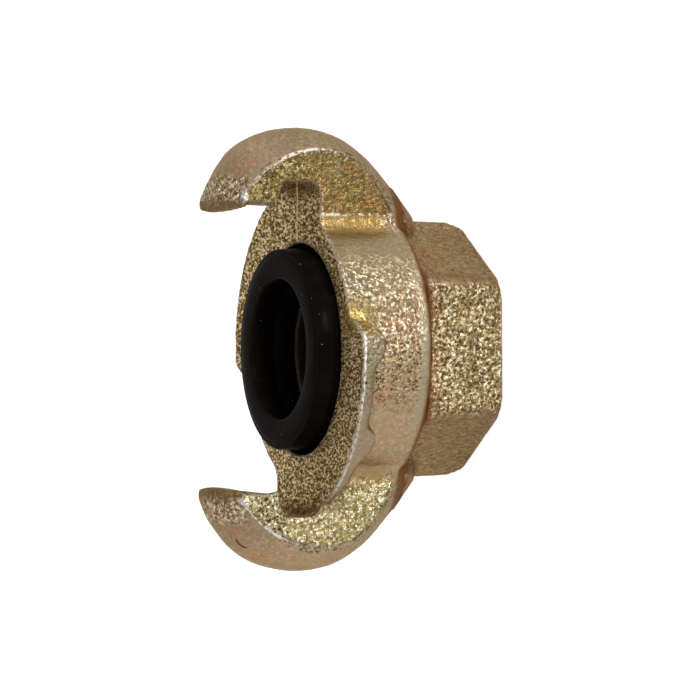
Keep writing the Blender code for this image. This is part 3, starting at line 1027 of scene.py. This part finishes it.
    def faces(self, at: Survey) -> dict[Layer, np.ndarray]:
        """Tell the faces of the casting apart.

        Args:
            at: Survey of the casting.

        Returns:
            Each face's share at every point.
        """
        above = at.z - self.front_height
        off_claw = 1 - at.in_claw
        front = eased(at.up, 0.75, 0.9) * eased(np.abs(above), 0.0006, 0.0003)
        front *= eased(at.radius, self.recess_radius, self.recess_radius + 0.0003)
        claw_side = eased(at.lean, 0.80, 0.94) * eased(np.abs(at.side - self.claw_half), 0.0012, 0.0006)
        claw_side *= eased(at.radius, self.drum_radius + 0.0002, self.drum_radius + 0.0008)
        claw_side *= eased(at.reach, 0.0200, 0.0206)
        crown = eased(at.lean, 0.85, 0.70) * eased(at.reach, 0.0205, 0.0225)
        crown *= eased(at.side, self.claw_half + 0.0006, self.claw_half) * (1 - front)
        land = eased(np.abs(at.z - self.land_height), 0.0009, 0.0005) * eased(at.lean, 0.72, 0.88)
        land *= eased(at.radius, self.drum_radius - 0.0008, self.drum_radius - 0.0003) * off_claw
        rim = eased(np.abs(at.radius - self.lug_radius), 0.0007, 0.0003) * eased(above, 0.0008, 0.0)
        rim *= eased(at.up, 0.85, 0.6) * off_claw
        tip = eased(self.nose_face(at.points), -0.0014, -0.0010) * at.in_claw
        tip *= eased(at.reach, 0.0231, 0.0227)
        # Bore wall, darkened with painted shade.
        bore = eased(at.radius, self.bore_radius + 0.0004, self.bore_radius)
        return {
            Layer.FRONT: front, Layer.CLAW_SIDE: claw_side, Layer.CROWN: crown, Layer.LAND: land,
            Layer.RIM: rim, Layer.TIP: tip,
            Layer.HEXAGON: eased(at.z, self.hex_height + 0.0002, self.hex_height - 0.0003),
            # front face under the claws, darkened with painted shade
            Layer.SHELTER: front * eased(at.reach, 0.0225, 0.0250),
            Layer.BORE: bore * eased(at.z, 0.0140, 0.0150),
        }

    def bends(self, at: Survey) -> dict[Layer, np.ndarray]:
        """Find the worn edges, the claws' ridges, and the hollows and valleys that get painted shade.

        Args:
            at: Survey of the casting.

        Returns:
            Their shares at every point.
        """
        off_joint = np.abs(at.z - self.hex_height)
        # Painted shade and dark reflection where drum meets hexagon, and on the rounded backs of the drum
        # and the lugs.
        joint_shade = eased(at.wide_bend, -60, -260) * eased(off_joint, 0.0018, 0.0009)
        drum_back_shade = eased(-at.up, 0.12, 0.40) * eased(off_joint, 0.0014, 0.0010)
        drum_back_shade *= eased(at.radius, 0.0170, 0.0178)
        lug_back_shade = eased(-at.up, 0.10, 0.45) * eased(at.radius, 0.0228, 0.0236) * (at.z > 0.02)
        lug_back_shade *= 1 - at.in_claw
        ridge = at.behind * eased(at.side, 0.0070, 0.0078)
        edge = eased(at.bend, 300, 900) * (0.25 + 0.75 * eased(at.z, 0.0015, 0.0030)) * (1 - 0.85 * ridge)
        edge *= 1 - 0.85 * (1 - at.behind) * eased(at.reach, 0.0203, 0.0210) * eased(at.side, 0.0100, 0.0094)
        edge *= 1 - 0.95 * eased(at.z, 0.0370, 0.0385)
        return {
            Layer.EDGE: edge, Layer.RIDGE: ridge, Layer.HOLLOW: eased(at.bend, -300, -1100),
            Layer.VALLEY: np.maximum.reduce([joint_shade, drum_back_shade, 0.7 * lug_back_shade]),
        }

    def grains(self, at: Survey, faces: dict[Layer, np.ndarray]) -> tuple[np.ndarray, np.ndarray]:
        """Say how strongly dark grains and painted glints show at each point; the glints are painted
        strongest on faces turned to the lamp.

        Args:
            at: Survey of the casting.
            faces: Share of each face.

        Returns:
            Strength of the dark grains and of the painted glints.
        """
        facing = at.normals[:, 1]
        # Glints are painted strongest on faces turned towards the lamp.
        glint_way = eased(at.lean * 0.94 + facing * 0.34, 0.89, 1.0)
        dark_way = np.maximum(eased(at.lean * 0.99 - facing * 0.12, 0.90, 1.0), 0.45 * glint_way)
        dark, bright = 0.10 + 0.70 * dark_way, 0.12 + 0.88 * glint_way
        upper = at.y > 0
        fore = np.where(upper, eased(at.z, 0.0270, 0.0310), eased(at.z, 0.0310, 0.0340))
        side_dark = np.where(upper, 0.46 + 0.20 * fore, 0.50 + 0.50 * fore)
        side_glint = np.where(upper, 0.10 + 0.16 * fore, 0.70 + 0.08 * fore)
        flat = eased(at.lean, 0.70, 0.95)
        nose = eased(at.z, 0.0376, 0.0392) * eased(at.reach, 0.0272, 0.0256)
        steps = [
            (Layer.HEXAGON, 0.38 + 0.40 * flat, 0.12 + 0.54 * flat),
            (Layer.CROWN, 0.14 + 0.66 * nose, 0.12 + 0.80 * nose),
            (Layer.CLAW_SIDE, side_dark, side_glint),
            (Layer.FRONT, 0.85, 1.0),
            (Layer.SHELTER, 0.30, 0.18),
        ]
        for layer, darker, brighter in steps:
            dark += faces[layer] * (darker - dark)
            bright += faces[layer] * (brighter - bright)
        return dark, bright

    def mark(self, skin: Skin) -> None:
        """Write down where faces, edges, hollows and rough places lie.

        Args:
            skin: Skin of the casting.
        """
        at = Survey(skin, self)
        layers = self.faces(at) | self.bends(at)
        off_front, rim = 1 - layers[Layer.FRONT], layers[Layer.RIM]
        root = eased(at.reach, 0.0212, 0.0202) * eased(at.reach, 0.0152, 0.0190) * off_front
        root *= eased(at.side, 0.0084, 0.0089) * eased(at.side, 0.0140, 0.0108)
        root *= eased(at.z, 0.0150, 0.0180) * np.where(at.y > 0, 1.0, 0.6)
        # Painted golden glint on the lugs' slanted ends: golden colour and strong glints.
        lug_end_glint = eased(at.radius, 0.0206, 0.0212) * eased(at.z, 0.0222, 0.0230) * off_front
        lug_end_glint *= eased(np.abs(at.up), 0.6, 0.35) * (1 - rim) * (1 - at.in_claw)
        dark, bright = self.grains(at, layers)
        smooth = np.maximum.reduce([0.9 * layers[Layer.LAND], 0.6 * rim, layers[Layer.TIP], 0.95 * root])
        dark *= 1 - 0.85 * smooth
        bright *= 1 - 0.8 * smooth
        dark += lug_end_glint * (0.35 - dark)
        bright += lug_end_glint * (0.85 - bright)
        layers |= {Layer.GOLD: np.maximum(root, lug_end_glint), Layer.DARK: dark, Layer.BRIGHT: bright}
        for layer, values in layers.items():
            skin.keep(layer.value, skin.spread(values, 1))


@dataclass
class PipeThread:
    """Female pipe thread, cut into the casting from the hexagon's end."""

    minor_radius: float = 0.01206
    depth: float = 0.00110
    pitch: float = 0.001814
    length: float = 0.0144
    wall_radius: float = 0.01362
    mouth_bevel: float = 0.0012
    run_out: float = 0.0022
    end_lift: float = 0.00006
    flat: float = 0.10              # share of a flank that is flat at the crest, and again at the root
    rounding: float = 0.35
    turns: int = 120
    rows: int = 132
    finish: TappedThread = field(default_factory=TappedThread)

    def radius_at(self, angle: float, height: float) -> tuple[float, float]:
        """Radius of the cut surface.

        Args:
            angle: Angle round the bore, in turns.
            height: Height above the hexagon's end.

        Returns:
            The radius, and how deep it lies in the thread from 0 to 1.
        """
        phase = (height / self.pitch - angle) % 1.0
        flank = min(abs(phase - 0.5) * 2, 1.0)
        cut = min(max((flank - self.flat) / (1 - 2 * self.flat), 0.0), 1.0)
        cut = cut * cut * (3 - 2 * cut) * self.rounding + cut * (1 - self.rounding)
        cut *= min(max((self.length - height) / self.run_out, 0.0), 1.0)
        radius = self.minor_radius + self.depth * cut
        return max(radius, self.minor_radius + self.mouth_bevel - height), cut

    def make(self) -> bpy.types.Object:
        """Build and dress the thread.

        Returns:
            The finished piece.
        """
        rings = []
        depths = []
        cut_length = self.length - self.end_lift
        heights = [self.end_lift + cut_length * i / self.rows for i in range(self.rows + 1)]
        wall = [(self.wall_radius, heights[-1]), (self.wall_radius, heights[0])]
        for turn in range(self.turns):
            cuts = [self.radius_at(turn / self.turns, height) for height in heights]
            profile = [(radius, height) for (radius, _), height in zip(cuts, heights)]
            rings.append(swung(profile + wall, math.tau * turn / self.turns))
            depths += [cut for _, cut in cuts] + [0.0] * len(wall)
        mesh = joined_rings("pipe_thread", rings)
        mesh.attributes.new(DEPTH_LAYER, "FLOAT", "POINT").data.foreach_set("value", depths)
        mesh.set_sharp_from_angle(angle=math.radians(50))
        piece = link_object("pipe_thread", mesh)
        mesh.materials.append(self.finish.make())
        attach(piece, ROOT_BODY)
        return piece


@dataclass
class SealRing:
    """Moulded rubber seal with a flat land round its bore, a rounded lip and a flange in the groove."""

    node: str = "seal_ring"
    outer_radius: float = 0.0154
    bore_radius: float = 0.01075
    flange_radius: float = 0.0168
    base: float = 0.0231
    flange_height: float = 0.0025
    top: float = 0.0298
    lip: float = 0.0005
    land: float = 0.0037
    edge_round: float = 0.00022
    inner_round: float = 0.0004
    edge_drop: float = 0.00008
    edge_steps: int = 8
    inner_steps: int = 5
    chamfer: float = 0.0002
    groove: float = 0.00018
    flash_height: float = 0.0275
    flash: float = 0.00008
    turns: int = 180
    finish: BlackRubber = field(default_factory=BlackRubber)

    def profile(self) -> list[tuple[float, float]]:
        """Profile of the ring, down its outer side and back up its bore.

        Returns:
            Points of radius and height.
        """
        crest = self.top + self.lip
        shelf = self.base + self.flange_height
        outer, inner = self.outer_radius, self.bore_radius
        land_edge = inner + self.land
        points = []
        for i in range(self.edge_steps + 1):
            angle = math.pi / 2 * (1 - i / self.edge_steps)
            points.append((outer - self.edge_round * (1 - math.cos(angle)),
                           crest - self.edge_drop - self.edge_round * (1 - math.sin(angle))))
        points += [
            (outer, self.flash_height + 0.00012),
            (outer + self.flash, self.flash_height + 0.00004),
            (outer + self.flash, self.flash_height - 0.00004),
            (outer, self.flash_height - 0.00012),
            (outer, shelf + self.chamfer),
            (outer + self.chamfer, shelf),
            (self.flange_radius - self.chamfer, shelf),
            (self.flange_radius, shelf - self.chamfer),
            (self.flange_radius, self.base + self.chamfer),
            (self.flange_radius - self.chamfer, self.base),
            (inner + self.inner_round, self.base),
            (inner, self.base + self.inner_round),
            (inner, self.base + 0.0031),
            (inner + self.groove, self.base + 0.0033),
            (inner + self.groove, self.base + 0.0036),
            (inner, self.base + 0.0038),
            (inner, crest - self.inner_round),
        ]
        for i in range(1, self.inner_steps + 1):
            angle = math.pi / 2 * i / self.inner_steps
            points.append((inner + self.inner_round * (1 - math.cos(angle)),
                           crest - self.inner_round * (1 - math.sin(angle))))
        points += [
            (land_edge - 0.00012, crest),
            (land_edge, crest - 0.00002),
            (land_edge + 0.00014, crest - self.edge_drop),
        ]
        return points

    def make(self) -> bpy.types.Object:
        """Build and dress the seal.

        Returns:
            The finished piece.
        """
        mesh = turned_mesh("rubber_seal", self.profile(), self.turns)
        mesh.set_sharp_from_angle(angle=math.radians(60))
        piece = link_object("rubber_seal", mesh)
        mesh.materials.append(self.finish.make())
        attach(piece, ROOT_BODY)
        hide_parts(self.node)
        return piece


@dataclass
class Studio:
    """Pale floor, white surroundings and one soft lamp."""

    floor_size: float = 9.0
    floor_colour: Colour = (0.86, 0.86, 0.86)
    floor_gap: float = 0.0001
    floor_lift: float = 0.38
    floor_white: float = 0.30
    # Painted shadow: the floor doesn't glow under the coupling.
    under_part_shadow: float = 0.0165      # radius under the coupling where the floor doesn't glow
    ambient: float = 0.75
    ceiling: float = 0.66
    key_turn: float = 34.0
    key_rise: float = 4.0
    key_distance: float = 1.1
    key_aim: float = 0.02
    key_size: tuple[float, float] = (0.26, 0.12)
    key_power: float = 7.0

    def rays(self, sheet: NodeSheet) -> tuple[Socket, Socket]:
        """Tell which rays look at the background.

        Args:
            sheet: Node sheet of the floor or the world.

        Returns:
            Camera rays, and camera, glossy and transmission rays together.
        """
        path = sheet.node("ShaderNodeLightPath")
        camera = Socket(sheet, path.outputs["Is Camera Ray"])
        shown = camera.largest(Socket(sheet, path.outputs["Is Glossy Ray"]))
        return camera, shown.largest(Socket(sheet, path.outputs["Is Transmission Ray"]))

    def floor(self) -> None:
        """Lay the floor, which shows white and keeps the shadow."""
        mesh = bpy.data.meshes.new("pale_floor")
        half = self.floor_size / 2
        square = ((-half, -half), (half, -half), (half, half), (-half, half))
        corners = [(x, y, -self.floor_gap) for x, y in square]
        mesh.from_pydata(corners, [], [(0, 1, 2, 3)])
        floor = link_object("pale_floor", mesh)
        material, sheet = new_material("pale_floor")
        lit = sheet.node("ShaderNodeBsdfPrincipled", None, {
            "Base Color": self.floor_colour, "Roughness": 0.9, "Specular IOR Level": 0.1})
        camera, shown = self.rays(sheet)
        dim, pale = (
            sheet.node("ShaderNodeEmission", None, {"Color": WHITE, "Strength": strength}).outputs[0]
            for strength in (self.floor_lift, self.floor_lift + self.floor_white))
        glow = sheet.node("ShaderNodeMixShader", None, {0: camera, 1: dim, 2: pale})
        both = sheet.node("ShaderNodeAddShader", None, {0: lit.outputs[0], 1: glow.outputs[0]})
        place = sheet.node("ShaderNodeTexCoord").outputs["Object"]
        shown = shown * sheet.near(place, (0.0, 0.0, 0.0)).step(self.under_part_shadow * 0.8, self.under_part_shadow)
        mixed = sheet.node("ShaderNodeMixShader", None, {0: shown, 1: lit.outputs[0], 2: both.outputs[0]})
        sheet.node("ShaderNodeOutputMaterial", None, {"Surface": mixed.outputs[0]})
        mesh.materials.append(material)

    def surroundings(self) -> None:
        """Set the white world, dimmer overhead for what the metal mirrors."""
        world = bpy.data.worlds.new("studio")
        world.use_nodes = True
        bpy.context.scene.world = world
        sheet = NodeSheet(world.node_tree)
        camera, shown = self.rays(sheet)
        direction = sheet.node("ShaderNodeTexCoord").outputs["Generated"]
        rise = Socket(sheet, sheet.node("ShaderNodeSeparateXYZ", None, {0: direction}).outputs["Z"])
        dim = rise.step(0.06, 0.45) * (1 - camera)
        backdrop = sheet.blend(dim, WHITE, (self.ceiling, self.ceiling, self.ceiling))
        seen = sheet.node("ShaderNodeBackground", None, {"Color": backdrop, "Strength": 1.0})
        light = sheet.node("ShaderNodeBackground", None, {"Color": WHITE, "Strength": self.ambient})
        mixed = sheet.node("ShaderNodeMixShader", None, {0: shown, 1: light.outputs[0], 2: seen.outputs[0]})
        sheet.node("ShaderNodeOutputWorld", None, {"Surface": mixed.outputs[0]})

    def key(self) -> None:
        """Hang the soft lamp that looks at the coupling."""
        lamp = bpy.data.lights.new("key", "AREA")
        lamp.shape = "RECTANGLE"
        lamp.size, lamp.size_y = self.key_size
        lamp.energy = self.key_power
        item = link_object("key", lamp)
        turn, rise = math.radians(self.key_turn), math.radians(self.key_rise)
        out = Vector((math.cos(turn) * math.cos(rise), math.sin(turn) * math.cos(rise), math.sin(rise)))
        item.location = out * self.key_distance + Vector((0.0, 0.0, self.key_aim))
        item.rotation_euler = (-out).to_track_quat("-Z", "Y").to_euler()
        item.visible_camera = False

    def make(self) -> None:
        """Build the floor, the surroundings and the lamp."""
        self.floor()
        self.surroundings()
        self.key()
        bpy.context.scene.view_settings.view_transform = "Standard"


@dataclass
class PhotoCamera:
    """Camera at the photograph's viewing angle: level with the bore, which runs across the picture."""

    turn: float = 66.9
    distance: float = 1.8
    scale: float = 6.51             # pixels to a millimetre
    image: int = 700
    aim: tuple[float, float] = (298.6, 349.3)   # pixel of the bore's axis at the aim height
    aim_height: float = 0.0269
    roll: float = -0.28
    sensor: float = 36.0

    def make(self) -> None:
        """Place the camera and make it the scene's own."""
        angle = math.radians(self.turn)
        back = Vector((math.sin(angle), 0.0, math.cos(angle)))
        tilt = Matrix.Rotation(math.radians(self.roll), 3, back)
        up = tilt @ Vector((0.0, 1.0, 0.0))
        right = up.cross(back)
        side = (self.aim[0] - self.image / 2) / 1000 / self.scale
        drop = (self.aim[1] - self.image / 2) / 1000 / self.scale
        place = Vector((0.0, 0.0, self.aim_height)) + back * self.distance - right * side + up * drop
        data = bpy.data.cameras.new("photo_camera")
        data.sensor_width = self.sensor
        data.lens = self.distance * self.sensor / (self.image / self.scale / 1000)
        data.clip_end = 20.0
        camera = link_object("photo_camera", data)
        turned = Matrix((right, up, back)).transposed().to_4x4()
        camera.matrix_world = Matrix.Translation(place) @ turned
        bpy.context.scene.camera = camera


def report(piece: bpy.types.Object) -> None:
    """Log a piece with its number of triangles."""
    triangles = sum(len(face.vertices) - 2 for face in piece.data.polygons)
    LOG.info("%s: %d triangles", piece.name, triangles)


def main() -> None:
    """Build the dressed coupling, the studio and the camera."""
    logging.basicConfig(level=logging.INFO, format="%(name)s %(message)s")
    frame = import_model()
    casting = Casting()
    for piece in (casting.make(frame["nodes"][casting.node]), PipeThread().make(), SealRing().make()):
        report(piece)
    Studio().make()
    PhotoCamera().make()


if __name__ == "__main__":
    main()
